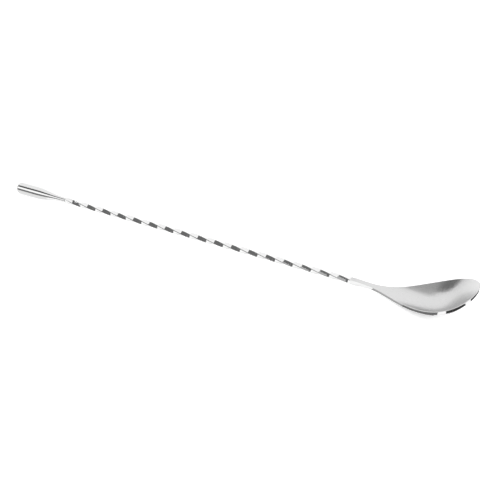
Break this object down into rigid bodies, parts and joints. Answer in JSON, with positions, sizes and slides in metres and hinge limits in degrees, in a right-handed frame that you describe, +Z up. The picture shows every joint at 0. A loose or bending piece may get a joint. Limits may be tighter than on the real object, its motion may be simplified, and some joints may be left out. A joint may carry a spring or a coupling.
{
  "type": "bar spoon",
  "caption": "Long stirring spoon with a teardrop bowl that curls up, a twisted square bar and a bullet-shaped counterweight, lying on its bowl and weight.",
  "frame": {"origin": "on the surface that the spoon lies on, under the middle of its length", "axes": "+X along the spoon towards the bowl, +Z up out of the bowl's open side, +Y across"},
  "size_m": [0.305, 0.0284, 0.024],
  "materials": {
    "head_steel": "satin inside the bowl, polished outside and on the lip",
    "bar_steel": "polished",
    "weight_steel": "mirror polished"
  },
  "bodies": {
    "root": {"spoon_head": "head_steel", "twisted_bar": "bar_steel", "counterweight": "weight_steel"}
  },
  "joints": []
}
